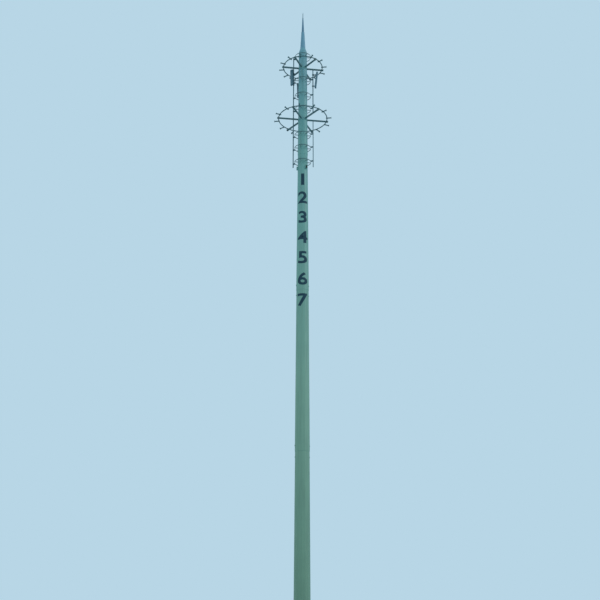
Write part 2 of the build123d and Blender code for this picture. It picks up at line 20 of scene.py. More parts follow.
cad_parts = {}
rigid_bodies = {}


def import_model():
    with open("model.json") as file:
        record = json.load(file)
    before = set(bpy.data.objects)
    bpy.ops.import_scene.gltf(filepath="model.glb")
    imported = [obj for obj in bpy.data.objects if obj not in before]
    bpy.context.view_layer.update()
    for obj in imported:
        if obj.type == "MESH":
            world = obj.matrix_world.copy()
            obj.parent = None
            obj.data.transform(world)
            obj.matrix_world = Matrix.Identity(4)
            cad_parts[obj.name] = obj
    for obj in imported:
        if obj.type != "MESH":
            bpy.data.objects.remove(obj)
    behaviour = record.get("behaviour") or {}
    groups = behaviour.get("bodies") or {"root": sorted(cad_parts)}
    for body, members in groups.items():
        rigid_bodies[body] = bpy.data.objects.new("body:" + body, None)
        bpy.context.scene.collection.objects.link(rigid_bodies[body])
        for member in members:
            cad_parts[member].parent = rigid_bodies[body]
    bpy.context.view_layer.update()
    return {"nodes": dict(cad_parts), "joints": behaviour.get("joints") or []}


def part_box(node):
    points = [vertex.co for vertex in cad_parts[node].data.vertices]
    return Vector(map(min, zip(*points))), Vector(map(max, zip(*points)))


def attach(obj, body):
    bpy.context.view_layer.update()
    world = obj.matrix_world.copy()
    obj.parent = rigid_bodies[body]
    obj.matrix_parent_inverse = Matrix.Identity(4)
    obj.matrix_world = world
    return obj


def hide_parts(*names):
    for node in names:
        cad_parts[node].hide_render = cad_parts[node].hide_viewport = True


logging.basicConfig(level=logging.INFO, format="%(message)s")
LOG = logging.getLogger("cell_tower")
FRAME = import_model()

Colour = tuple[float, float, float]
Point = tuple[float, float]
Row = tuple[float, ...]
Material = bpy.types.Material
Object = bpy.types.Object
Socket = bpy.types.NodeSocket
Level = Socket | float
Paint = Socket | Colour

AXIS = Matrix.Identity(4)
SHAFT_SIDES = 16
SPOKE_ANGLES = tuple(8 + 60 * index for index in range(6))
STUB_ANGLES = tuple(-7 + 30 * index for index in range(12))


class Body(str, Enum):
    """The CAD bodies that pieces ride on."""

    TOWER = "tower"
    LEFT = "left_antenna"
    RIGHT = "right_antenna"
    REAR = "rear_antenna"


class Slot(str, Enum):
    """The record's material slots."""

    SHAFT = "shaft_paint"
    RING = "ring_steel"
    FITTING = "fitting_steel"
    ROD = "rod_steel"
    RADOME = "radome"


def linear(*levels: int) -> Colour:
    """Scene-linear colour from display levels of red, green and blue, 0 to 255."""
    shares = [level / 255 for level in levels]
    return tuple(s / 12.92 if s <= 0.04045 else ((s + 0.055) / 1.055) ** 2.4 for s in shares)


def shade(colour: Colour, factor: float) -> Colour:
    """A linear colour, made lighter or darker by a factor."""
    return tuple(level * factor for level in colour)


def shift(x: float, y: float, z: float) -> Matrix:
    """A move along the three axes."""
    return Matrix.Translation((x, y, z))


def turn(degrees: float, axis: str) -> Matrix:
    """A turn about one axis."""
    return Matrix.Rotation(math.radians(degrees), 4, axis)


def polar(radius: float, degrees: float, height: float) -> Matrix:
    """A place at a radius and angle round the shaft, with +X turned to look outwards."""
    return turn(degrees, "Z") @ shift(radius, 0, height)


def circle(radius: float, centre: Point, sides: int) -> list[Point]:
    """Corners of a round profile, its centre given as radius and height."""
    turns = [2 * math.pi * index / sides for index in range(sides)]
    return [(centre[0] + radius * math.cos(t), centre[1] + radius * math.sin(t)) for t in turns]


def corners(node: str) -> list[Vector]:
    """The vertices of a CAD node."""
    return [vert.co for vert in FRAME["nodes"][node].data.vertices]


def placed(name: str, data: bpy.types.ID) -> Object:
    """Put data in the scene.

    Args:
        name: Name of its object.
        data: A mesh, lamp, camera or curve.

    Returns:
        The object that holds it.
    """
    holder = bpy.data.objects.new(name, data)
    bpy.context.scene.collection.objects.link(holder)
    return holder


# Finishes


class NodeSheet:
    """The node tree of a material or a world, with a short call for each kind of node."""

    def __init__(self, name: str, kind: str = "materials") -> None:
        """Start the tree of a new material or world."""
        self.owner = getattr(bpy.data, kind).new(name)
        self.owner.use_nodes = True

    @cached_property
    def nodes(self) -> bpy.types.Nodes:
        """The nodes of the tree."""
        return self.owner.node_tree.nodes

    @property
    def shader(self) -> bpy.types.NodeInputs:
        """The inputs of the material's shader."""
        return self.nodes["Principled BSDF"].inputs

    @cached_property
    def objects(self) -> Socket:
        """Object coordinates."""
        return self.add("TexCoord").outputs["Object"]

    def feed(self, socket: Socket, value: object) -> None:
        """Give a socket its input.

        Args:
            socket: The socket.
            value: A socket to link, or a number, a vector or a colour.
        """
        if isinstance(value, Socket):
            self.owner.node_tree.links.new(value, socket)
        else:
            socket.default_value = (*value, 1) if socket.type == "RGBA" else value

    def add(self, kind: str, inputs: dict | None = None, **settings: object) -> bpy.types.Node:
        """Add a node.

        Args:
            kind: Its type, without the word that all of them start with.
            inputs: Socket names or numbers, with what feeds each.
            settings: Its attributes.

        Returns:
            The node.
        """
        node = self.nodes.new(f"ShaderNode{kind}")
        for key, value in settings.items():
            setattr(node, key, value)
        for key, value in (inputs or {}).items():
            self.feed(node.inputs[key], value)
        return node

    def stretched(self, scale: Sequence[float]) -> Socket:
        """Object coordinates, scaled along each axis."""
        return self.add("Mapping", {"Vector": self.objects, "Scale": scale}).outputs["Vector"]

    def noise(self, scale: float, detail: float, stretch: Sequence[float] = (1, 1, 1)) -> Socket:
        """Noise by its waves in a metre, its octaves, and its scale along each axis."""
        inputs = {"Vector": self.stretched(stretch), "Scale": scale, "Detail": detail}
        return self.add("TexNoise", inputs).outputs["Fac"]

    def between(self, pattern: Socket, low: float, high: float, to: Point = (0, 1)) -> Socket:
        """Carry a pattern's levels, from low to high, to another pair of levels."""
        ends = {"From Min": low, "From Max": high, "To Min": to[0], "To Max": to[1]}
        return self.add("MapRange", {"Value": pattern, **ends}).outputs["Result"]

    def mixed(self, share: Level, first: Paint, second: Paint, mode: str = "MIX") -> Socket:
        """Mix two colours, by the share of the second one."""
        inputs = {0: share, 6: first, 7: second}
        return self.add("Mix", inputs, data_type="RGBA", blend_type=mode).outputs[2]

    def patched(
        self, under: Paint, over: Paint, pattern: Socket, levels: Sequence[float], mode: str = "MIX"
    ) -> Socket:
        """Lay patches over a colour: levels are where they start, are full, and how full."""
        share = self.between(pattern, levels[0], levels[1], (0, levels[2]))
        return self.mixed(share, under, over, mode)

    def paint(self, colour: Socket, gloss: Socket, to: Point, levels: Point = (0.3, 0.7)) -> None:
        """Give the shader its colour, and its roughness from the levels of a pattern."""
        self.feed(self.shader["Base Color"], colour)
        self.feed(self.shader["Roughness"], self.between(gloss, *levels, to))

    def bump(self, pattern: Socket, strength: float, depth: float) -> None:
        """Give the shader a bump, by the share of it that shows and its depth in metres."""
        node = self.add("Bump", {"Height": pattern, "Strength": strength, "Distance": depth})
        self.feed(self.shader["Normal"], node.outputs["Normal"])


@dataclass(frozen=True)
class ShaftPaint:
    """Weathered paint on the shaft, in colours by height, with rain streaks down it."""

    name: str = "shaft_paint"
    stops: tuple[tuple[float, Colour], ...] = (
        (2.0, linear(84, 124, 106)),
        (13.0, linear(97, 141, 126)),
        (30.0, linear(83, 141, 140)),
        (37.0, linear(81, 136, 152)),
    )
    bleach: Colour = (1.16, 1.14, 1.12)
    grime: Colour = linear(68, 102, 92)

    @cached_property
    def material(self) -> Material:
        """Make the material, when it is first used."""
        sheet = NodeSheet(self.name)
        height = sheet.add("SeparateXYZ", {"Vector": sheet.objects}).outputs["Z"]
        colour = self.stops[0][1]
        for (low, _), (high, tone) in zip(self.stops, self.stops[1:]):
            colour = sheet.mixed(sheet.between(height, low, high), colour, tone)
        patches = sheet.noise(1.1, 3)
        colour = sheet.patched(colour, self.bleach, patches, (0.35, 0.7, 0.5), "MULTIPLY")
        streaks = sheet.noise(9, 5, (1, 1, 0.05))
        colour = sheet.patched(colour, self.grime, streaks, (0.5, 0.75, 0.35))
        specks = sheet.noise(55, 2)
        colour = sheet.patched(colour, self.grime, specks, (0.62, 0.72, 0.18))
        sheet.paint(colour, sheet.noise(3, 4, (1, 1, 0.3)), (0.42, 0.62))
        sheet.bump(sheet.noise(90, 3), 0.25, 0.0012)
        return sheet.owner


@dataclass(frozen=True)
class SteelPaint:
    """Dull paint on bars and pipes, worn and stained in small patches.

    Inside the hub radius, if there is one, it has the hub's colour.
    """

    name: str
    colour: Colour
    worn: Colour
    grain: float = 14.0
    roughness: Point = (0.45, 0.65)
    hub: Colour = linear(83, 141, 143)
    hub_radius: float = 0.0
    hub_edge: float = 0.003
    dark: Colour = (0.82, 0.82, 0.82)
    pale: Colour = (1.5, 1.5, 1.5)

    @cached_property
    def material(self) -> Material:
        """Make the material, when it is first used."""
        sheet = NodeSheet(self.name)
        outside: Level = 1.0
        if self.hub_radius:
            level = sheet.stretched((1, 1, 0))
            radius = sheet.add("VectorMath", {0: level}, operation="LENGTH").outputs["Value"]
            outside = sheet.between(radius, self.hub_radius, self.hub_radius + self.hub_edge)
        base = sheet.mixed(outside, self.hub, self.colour)
        dull = sheet.mixed(1.0, base, self.dark, "MULTIPLY")
        colour = sheet.patched(dull, base, sheet.noise(2.2, 3), (0.3, 0.7, 0.6))
        runs = sheet.noise(self.grain * 2, 4, (1, 1, 0.08))
        colour = sheet.patched(colour, self.pale, runs, (0.48, 0.72, 0.3), "MULTIPLY")
        wear = sheet.noise(self.grain, 5)
        colour = sheet.patched(colour, self.worn, wear, (0.58, 0.72, 0.7))
        sheet.paint(colour, sheet.noise(self.grain / 2, 3), self.roughness)
        sheet.bump(sheet.noise(self.grain * 7, 3), 0.3, 0.0008)
        return sheet.owner


@dataclass(frozen=True)
class Galvanised:
    """Hot-dipped zinc with its spangle, gone dull outdoors."""

    name: str
    colour: Colour
    spangle: float = 70.0
    metallic: float = 0.55
    roughness: Point = (0.38, 0.58)

    @cached_property
    def material(self) -> Material:
        """Make the material, when it is first used."""
        sheet = NodeSheet(self.name)
        cells = sheet.add("TexVoronoi", {"Vector": sheet.objects, "Scale": self.spangle})
        level = sheet.add("RGBToBW", {"Color": cells.outputs["Color"]}).outputs["Val"]
        flakes = sheet.between(level, 0, 1)
        colour = sheet.mixed(flakes, shade(self.colour, 0.84), shade(self.colour, 1.16))
        colour = sheet.patched(colour, shade(self.colour, 0.72), sheet.noise(6, 4), (0.4, 0.7, 0.4))
        sheet.paint(colour, flakes, self.roughness, (0, 1))
        sheet.bump(sheet.noise(self.spangle * 2, 2), 0.2, 0.0005)
        sheet.shader["Metallic"].default_value = self.metallic
        return sheet.owner


@dataclass(frozen=True)
class MouldedShell:
    """Matte moulded plastic of the radomes, chalked by the sun and dusty."""

    name: str = "radome_shell"
    colour: Colour = linear(63, 102, 117)

    @cached_property
    def material(self) -> Material:
        """Make the material, when it is first used."""
        sheet = NodeSheet(self.name)
        chalk = sheet.noise(5, 4, (1, 1, 0.35))
        colour = sheet.patched(self.colour, shade(self.colour, 1.22), chalk, (0.4, 0.72, 0.45))
        dust = sheet.noise(120, 2)
        colour = sheet.patched(colour, shade(self.colour, 0.7), dust, (0.58, 0.7, 0.25))
        sheet.paint(colour, sheet.noise(20, 3), (0.5, 0.66))
        sheet.bump(sheet.noise(420, 2), 0.25, 0.0003)
        return sheet.owner


@dataclass(frozen=True)
class DullRubber:
    """Black rubber of seals and caps, greyed by dust."""

    name: str = "dull_rubber"
    colour: Colour = linear(38, 46, 48)
    dust: Colour = linear(74, 84, 84)

    @cached_property
    def material(self) -> Material:
        """Make the material, when it is first used."""
        sheet = NodeSheet(self.name)
        colour = sheet.patched(self.colour, self.dust, sheet.noise(40, 4), (0.45, 0.7, 0.5))
        sheet.paint(colour, sheet.noise(60, 2), (0.7, 0.88))
        sheet.bump(sheet.noise(300, 2), 0.3, 0.0004)
        return sheet.owner


@dataclass(frozen=True)
class NumeralPaint:
    """Stencilled dark paint, thin in places so that some of the shaft's colour shows."""

    name: str = "numeral_paint"
    colour: Colour = linear(22, 56, 70)
    under: Colour = linear(91, 140, 132)
    specular: float = 0.15

    @cached_property
    def material(self) -> Material:
        """Make the material, when it is first used."""
        sheet = NodeSheet(self.name)
        thin = sheet.noise(26, 5, (1, 1, 0.4))
        colour = sheet.patched(self.colour, self.under, thin, (0.6, 0.78, 0.3))
        fade = sheet.noise(2.4, 3)
        colour = sheet.patched(colour, shade(self.colour, 1.4), fade, (0.35, 0.7, 0.25))
        sheet.paint(colour, sheet.noise(12, 3), (0.5, 0.68))
        sheet.bump(sheet.noise(90, 3), 0.25, 0.001)
        sheet.shader["Specular IOR Level"].default_value = self.specular
        return sheet.owner


Look = ShaftPaint | SteelPaint | Galvanised | MouldedShell | DullRubber | NumeralPaint
SHAFT_PAINT = ShaftPaint()
# The ring paint is dark partly as paint and partly as painted shade: its colour is darkened to how
# the backlit rings look against the sky.
RING_PAINT_AND_SHADE = SteelPaint("ring_paint_and_shade", linear(46, 92, 98), linear(34, 62, 68))
PIPE_PAINT = SteelPaint("pipe_paint", linear(60, 104, 114), linear(44, 78, 86), 18)
SPIRE_PAINT = SteelPaint("spire_paint", linear(86, 139, 162), linear(70, 112, 132), 8)
TIP_PAINT = SteelPaint("spire_tip_paint", linear(72, 120, 147), linear(56, 92, 112), 8)
FITTING_ZINC = Galvanised("fitting_zinc", linear(66, 100, 108))
FASTENER_ZINC = Galvanised("fastener_zinc", linear(92, 118, 122), 160, 0.7, (0.3, 0.48))
ROD_ZINC = Galvanised("rod_zinc", linear(84, 118, 132), 90, 0.6)
SHELL = MouldedShell()
RUBBER = DullRubber()
NUMERAL_PAINT = NumeralPaint()


def dress(look: Look, *nodes: str) -> None:
    """Give CAD nodes their finish.

    Args:
        look: The finish.
        nodes: The nodes' names.
    """
    for node in nodes:
        for slot in FRAME["nodes"][node].material_slots:
            slot.material = look.material
        LOG.info("dressed %s with %s", node, look.name)


# Workpieces


class Workpiece:
    """One mesh under construction, shaped with bmesh operators."""

    def __init__(self, name: str) -> None:
        """Start an empty mesh under the finished piece's name."""
        self.name = name
        self.bm = bmesh.new()

    def bevel(self, verts: Iterable[bmesh.types.BMVert], width: float, limit: float = 30) -> None:
        """Round the sharp edges round some vertices.

        Args:
            verts: The vertices.
            width: Width of the rounding.
            limit: Degrees by which an edge turns at least, to be rounded.
        """
        faces = dict.fromkeys(face for vert in verts for face in vert.link_faces)
        edges = dict.fromkeys(edge for face in faces for edge in face.edges)
        sharp = [edge for edge in edges if edge.calc_face_angle(0) > math.radians(limit)]
        shape = {"offset": width, "segments": 2, "profile": 0.5, "affect": "EDGES"}
        bmesh.ops.bevel(self.bm, geom=sharp, material=-1, clamp_overlap=True, **shape)

    def block(self, size: Sequence[float], place: Matrix, edge: float) -> None:
        """Add a block of a size, centred on its place, its edges rounded."""
        made = bmesh.ops.create_cube(self.bm, size=1.0, matrix=place @ Matrix.Diagonal((*size, 1)))
        self.bevel(made["verts"], edge)

    def plate(self, outline: Sequence[Point], thickness: float, place: Matrix, edge: float) -> None:
        """Add a flat plate that stands on its place along Z, its edges rounded.

        Args:
            outline: Its corners in order, in the plane of the place's X and Y.
            thickness: Its thickness.
            place: Where it lies.
            edge: Width of the rounding.
        """
        foot = [self.bm.verts.new((x, y, 0)) for x, y in outline]
        face = self.bm.faces.new(foot)
        raised = bmesh.ops.extrude_face_region(self.bm, geom=[face], use_keep_orig=True)["geom"]
        top = [item for item in raised if isinstance(item, bmesh.types.BMVert)]
        bmesh.ops.translate(self.bm, vec=(0, 0, thickness), verts=top)
        bmesh.ops.transform(self.bm, matrix=place, verts=foot + top)
        self.bevel(foot + top, edge)

    def cylinder(
        self, radius: float, length: float, place: Matrix, segments: int,
        top: float = 0.0, edge: float = 0.0,
    ) -> None:
        """Add a closed cylinder or cone along its own Z, centred on its place.

        Args:
            radius: Its radius.
            length: Its length.
            place: Where its centre goes.
            segments: Number of sides.
            top: Radius at its top, if that differs.
            edge: Width of its rims' rounding.
        """
        size = {"segments": segments, "radius1": radius, "radius2": top or radius, "depth": length}
        made = bmesh.ops.create_cone(self.bm, cap_ends=True, matrix=place, **size)
        if edge:
            self.bevel(made["verts"], edge, 50)

    def rod(self, start: Matrix, end: Matrix, radius: float, segments: int = 6) -> None:
        """Add a straight rod or weld bead between two places.

        Args:
            start: Where it starts.
            end: Where it ends.
            radius: Its radius.
            segments: Number of sides.
        """
        low, high = start.translation, end.translation
        aim = (high - low).to_track_quat("Z", "Y").to_matrix().to_4x4()
        place = Matrix.Translation((low + high) / 2) @ aim
        self.cylinder(radius, (high - low).length, place, segments)

    def hexagon(self, across: float, height: float, place: Matrix, edge: float) -> None:
        """Add a nut or bolt head, across its flats, standing on its place along Z."""
        self.cylinder(across / math.sqrt(3), height, place @ shift(0, 0, height / 2), 6, edge=edge)

    def turned(
        self, profile: Sequence[Point], place: Matrix, segments: int, sweep: float = 360
    ) -> None:
        """Spin a closed profile about the place's Z.

        A full turn spins only the outline, so that no wall is left inside.

        Args:
            profile: Corners as radius and height, in order.
            place: Where the axis goes.
            segments: Steps of the spin.
            sweep: Degrees of the spin.
        """
        before = set(self.bm.verts)
        verts = [self.bm.verts.new((radius, 0, height)) for radius, height in profile]
        face = self.bm.faces.new(verts)
        outline = [*face.edges, *verts]
        whole = abs(sweep) >= 360
        if whole:
            bmesh.ops.delete(self.bm, geom=[face], context="FACES_ONLY")
        geom = outline if whole else [face, *outline]
        about = {"cent": (0, 0, 0), "axis": (0, 0, 1), "angle": math.radians(sweep)}
        bmesh.ops.spin(self.bm, geom=geom, steps=segments, use_merge=whole, **about)
        made = [vert for vert in self.bm.verts if vert not in before]
        bmesh.ops.remove_doubles(self.bm, verts=made, dist=1e-6)
        loose = [edge for edge in self.bm.edges if not edge.link_faces]
        bmesh.ops.delete(self.bm, geom=loose, context="EDGES")
        made = [vert for vert in self.bm.verts if vert not in before]
        bmesh.ops.transform(self.bm, matrix=place, verts=made)

    def finish(self, look: Look, slot: Slot, body: Body = Body.TOWER, smooth: float = 40) -> Object:
        """Close the mesh and make it a piece that rides on a body.

        Args:
            look: The piece's finish.
            slot: The record's material slot. It is not used.
            body: The CAD body that it moves with.
            smooth: Edges that turn by more than this many degrees stay sharp.

        Returns:
            The finished piece.
        """
        bmesh.ops.recalc_face_normals(self.bm, faces=self.bm.faces)
        for face in self.bm.faces:
            face.smooth = True
        for edge in self.bm.edges:
            edge.smooth = edge.calc_face_angle(0) < math.radians(smooth)
        mesh = bpy.data.meshes.new(self.name)
        self.bm.to_mesh(mesh)
        self.bm.free()
        mesh.materials.append(look.material)
        piece = placed(self.name, mesh)
        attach(piece, body.value)
        LOG.info("%s: %d faces on %s", self.name, len(mesh.polygons), body.value)
        return piece


@dataclass(frozen=True)
class HexHead:
    """A hexagon nut or bolt head on a round washer."""

    across: float
    height: float
    washer: float
    flat: float
    edge: float = 0.0008
    segments: int = 20

    def add(self, piece: Workpiece, seat: Matrix) -> None:
        """Add it to a mesh.

        Args:
            piece: The mesh.
            seat: Where it stands, along Z.
        """
        flat = seat @ shift(0, 0, self.flat / 2)
        piece.cylinder(self.washer, self.flat, flat, self.segments)
        piece.hexagon(self.across, self.height, flat @ shift(0, 0, self.flat / 2), self.edge)


@dataclass(frozen=True)
class UBolt:
    """A rod bent round a pipe, with a washer and a nut on each of its two legs."""

    pipe_radius: float
    leg: float
    wire: float = 0.005
    gap: float = 0.0006

    def add(self, piece: Workpiece, place: Matrix, seat: float) -> None:
        """Add the bolt, its legs towards the place's -X.

        Args:
            piece: The mesh.
            place: Where the pipe is, which runs along the place's Z.
            seat: Distance from the pipe's axis to the washers.
        """
        bend = self.pipe_radius + self.wire + self.gap
        piece.turned(circle(self.wire, (bend, 0), 8), place @ turn(-90, "Z"), 14, 180)
        across, high, washer, flat = (self.wire * share for share in (3.4, 1.7, 2.2, 0.4))
        nut = HexHead(across, high, washer, flat, 0.0006, 16)
        for side in (-1, 1):
            start = place @ shift(0, side * bend, 0)
            piece.rod(start, start @ shift(-self.leg, 0, 0), self.wire, 8)
            nut.add(piece, start @ shift(-seat, 0, 0) @ turn(-90, "Y"))


# The shaft


@dataclass
class ShaftTube:
    """Outside of one tapered tube, read from its CAD node."""

    node: str
    near: float = 0.001

    def __post_init__(self) -> None:
        """Read its ends, and the radius at its corners there."""
        low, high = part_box(self.node)
        self.foot, self.top = low.z, high.z
        reach = [(corner.z, corner.xy.length) for corner in corners(self.node)]
        self.foot_radius = max(radius for z, radius in reach if z < low.z + self.near)
        self.top_radius = max(radius for z, radius in reach if z > high.z - self.near)

    def corner(self, height: float) -> float:
        """Radius at the corners, at a height."""
        share = (height - self.foot) / (self.top - self.foot)
        return self.foot_radius + share * (self.top_radius - self.foot_radius)

    def flat(self, height: float) -> float:
        """Radius at the middle of the flats, at a height."""
        return self.corner(height) * math.cos(math.pi / SHAFT_SIDES)


@dataclass
class Shaft:
    """The tapered tubes, with the weld seams, lap seals and lifting bosses on them."""

    seam_radius: float = 0.006
    seam_angles: Point = (168.75, -11.25)
    boss_angles: Point = (11.25, 191.25)
    boss_across: float = 0.055
    boss_height: float = 0.03
    boss_offset: float = 0.32
    boss_edge: float = 0.002

    def __post_init__(self) -> None:
        """Read the tubes."""
        self.tubes = [ShaftTube(f"shaft_section_{index}") for index in range(1, 6)]

    def tube_at(self, height: float) -> ShaftTube:
        """The tube that is outermost at a height."""
        return [tube for tube in self.tubes if tube.foot <= height + 1e-6][-1]

    def on_surface(self, across: float, height: float, proud: float) -> Vector:
        """Point on the flats of the shaft's front.

        Args:
            across: Distance to the right of the front corner, in flats.
            height: Height above the base.
            proud: How far the point stands off the surface.

        Returns:
            The point.
        """
        radius = self.tube_at(height).corner(height) + proud
        flat = math.floor(across)
        angles = [n * 2 * math.pi / SHAFT_SIDES - math.pi / 2 for n in (flat, flat + 1)]
        left, right = (Vector((radius * math.cos(a), radius * math.sin(a), height)) for a in angles)
        return left.lerp(right, across - flat)

    def build(self) -> None:
        """Finish the tubes and the cone, and make the seams, lap seals and bosses."""
        dress(SHAFT_PAINT, *(tube.node for tube in self.tubes), "top_cone")
        welds = Workpiece("shaft_seam_welds")
        ends = [tube.foot for tube in self.tubes[1:]] + [self.tubes[-1].top]
        for tube, end in zip(self.tubes, ends):
            for angle in self.seam_angles:
                low, high = (polar(tube.flat(z), angle, z) for z in (tube.foot, end))
                welds.rod(low, high, self.seam_radius)
        seals = Workpiece("lap_seals")
        bosses = Workpiece("lifting_bosses")
        for below, above in zip(self.tubes[:3], self.tubes[1:4]):
            edge = above.foot
            inner, outer = below.corner(edge), above.corner(edge)
            profile = [(inner - 0.001, edge - 0.014), (inner + 0.004, edge - 0.010)]
            profile += [(outer - 0.002, edge - 0.001), (outer - 0.003, edge + 0.001)]
            profile += [(inner - 0.001, edge + 0.001)]
            seals.turned(profile, AXIS, SHAFT_SIDES)
            for angle in self.boss_angles:
                for z in (above.foot - self.boss_offset, above.foot + self.boss_offset):
                    seat = polar(self.tube_at(z).flat(z), angle, z) @ turn(90, "Y")
                    bosses.hexagon(self.boss_across, self.boss_height, seat, self.boss_edge)
        for piece in (welds, seals, bosses):
            piece.finish(SHAFT_PAINT, Slot.SHAFT)


@dataclass
class Numerals:
    """Plain numerals stencilled down the front of the shaft."""

    shaft: Shaft
    middles: Row = (26.61, 25.36, 24.02, 22.68, 21.34, 19.96, 18.62)
    height: float = 0.80
    stretch: float = 1.28
    proud: float = 0.0012
    thickness: float = 0.0008
    fatness: float = 0.025
    steps: int = 12
    near: float = 1e-5

    def glyph(self, text: str) -> bmesh.types.BMesh:
        """Cut out a flat numeral.

        Args:
            text: The numeral.

        Returns:
            Its mesh, in its own plane.
        """
        curve = bpy.data.curves.new("numeral", "FONT")
        curve.body = text
        curve.offset = self.fatness
        curve.resolution_u = self.steps
        holder = placed("numeral", curve)
        depsgraph = bpy.context.evaluated_depsgraph_get()
        mesh = bpy.data.meshes.new_from_object(holder.evaluated_get(depsgraph))
        flat = bmesh.new()
        flat.from_mesh(mesh)
        bpy.data.objects.remove(holder)
        bpy.data.curves.remove(curve)
        bpy.data.meshes.remove(mesh)
        bmesh.ops.remove_doubles(flat, verts=flat.verts, dist=self.near)
        return flat

    def add(self, piece: Workpiece, text: str, middle: float) -> None:
        """Lay a numeral on the shaft's flats.

        Args:
            piece: The mesh.
            text: The numeral.
            middle: Height of its centre.
        """
        flat = self.glyph(text)
        xs = [vert.co.x for vert in flat.verts]
        ys = [vert.co.y for vert in flat.verts]
        side = 2 * self.shaft.tube_at(middle).corner(middle) * math.sin(math.pi / SHAFT_SIDES)
        scale = self.height / (max(ys) - min(ys))
        for vert in flat.verts:
            across = (vert.co.x - (min(xs) + max(xs)) / 2) * scale * self.stretch / side
            vert.co = (across, (vert.co.y - (min(ys) + max(ys)) / 2) * scale, 0)
        for corner in range(-4, 5):
            geom = [*flat.verts, *flat.edges, *flat.faces]
            bmesh.ops.bisect_plane(
                flat, geom=geom, dist=1e-6, plane_co=(corner, 0, 0), plane_no=(1, 0, 0)
            )
        for vert in flat.verts:
            vert.co = self.shaft.on_surface(vert.co.x, middle + vert.co.y, self.proud)
        bmesh.ops.recalc_face_normals(flat, faces=flat.faces)
        bmesh.ops.dissolve_degenerate(flat, dist=self.near, edges=flat.edges)
        stray = [vert for vert in flat.verts if not vert.link_faces]
        bmesh.ops.delete(flat, geom=stray, context="VERTS")
        if sum(face.normal.dot(face.calc_center_median().xy.to_3d()) for face in flat.faces) < 0:
            bmesh.ops.reverse_faces(flat, faces=flat.faces)
        bmesh.ops.solidify(flat, geom=flat.faces[:], thickness=self.thickness)
        carrier = bpy.data.meshes.new("numeral")
        flat.to_mesh(carrier)
        flat.free()
        piece.bm.from_mesh(carrier)
        bpy.data.meshes.remove(carrier)

    def build(self) -> None:
        """Stencil the numerals from the top down."""
        piece = Workpiece("shaft_numerals")
        for number, middle in enumerate(self.middles, start=1):
            self.add(piece, str(number), middle)
        piece.finish(NUMERAL_PAINT, Slot.SHAFT, smooth=20)


